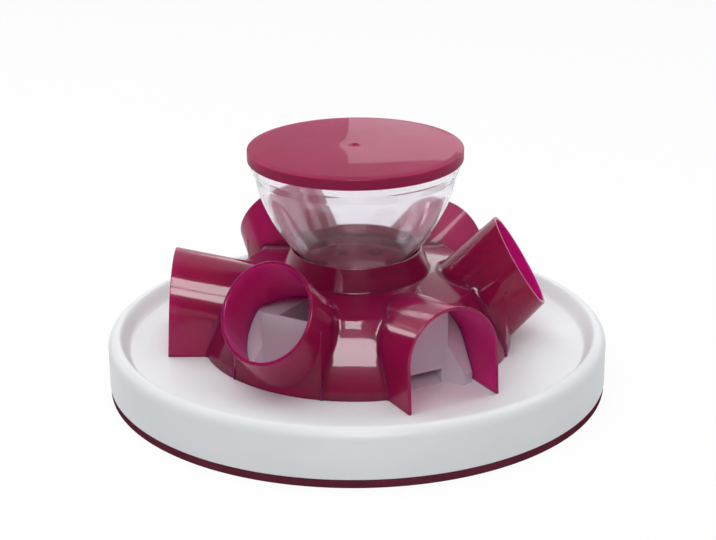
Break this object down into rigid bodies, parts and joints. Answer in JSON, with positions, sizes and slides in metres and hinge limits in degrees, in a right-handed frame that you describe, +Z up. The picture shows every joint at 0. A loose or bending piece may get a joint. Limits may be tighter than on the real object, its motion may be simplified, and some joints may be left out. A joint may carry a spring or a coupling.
{
  "type": "cat tunnel feeder",
  "caption": "Round white tray with a translucent burgundy tower of arched and slanted round tunnels, fed with dry food from a lidded clear bowl on top.",
  "frame": {"origin": "on the ground under the middle of the tray", "axes": "+Z up along the tower's axis, +X along one round tunnel, -Y towards the side in the picture"},
  "size_m": [0.37, 0.37, 0.1811],
  "materials": {
    "tray_white": "satin",
    "divider_white": "satin",
    "ring_rubber": "matte",
    "tower_burgundy": "glossy translucent",
    "lid_burgundy": "glossy translucent",
    "disc_burgundy": "glossy",
    "bowl_clear": "clear",
    "screw_steel": "zinc plated"
  },
  "bodies": {
    "base": {"base_plate": "tray_white", "tray_rim": "tray_white", "anti_slip_ring": "ring_rubber", "food_divider": "divider_white", "divider_screws": "screw_steel"},
    "tower": {"tunnel_hub": "tower_burgundy", "arch_front": "tower_burgundy", "arch_back": "tower_burgundy", "arch_left": "tower_burgundy", "tube_front": "tower_burgundy", "tube_right": "tower_burgundy", "tube_back": "tower_burgundy"},
    "dosing": {"dosing_disc": "disc_burgundy", "pivot_screw": "screw_steel"},
    "bowl": {"bowl": "bowl_clear"},
    "lid": {"lid": "lid_burgundy"}
  },
  "joints": [
    {"name": "tower_lift", "type": "slide", "parent": "base", "child": "tower", "axis": [0, 0, 1], "range_m": [0, 0.09]},
    {"name": "outlet_turn", "type": "hinge", "parent": "tower", "child": "dosing", "pos_m": [0, 0, 0.0872], "axis": [0, 0, 1], "range_deg": [0, 30]},
    {"name": "bowl_lift", "type": "slide", "parent": "dosing", "child": "bowl", "axis": [0, 0, 1], "range_m": [0, 0.08]},
    {"name": "lid_lift", "type": "slide", "parent": "bowl", "child": "lid", "axis": [0, 0, 1], "range_m": [0, 0.06]}
  ]
}
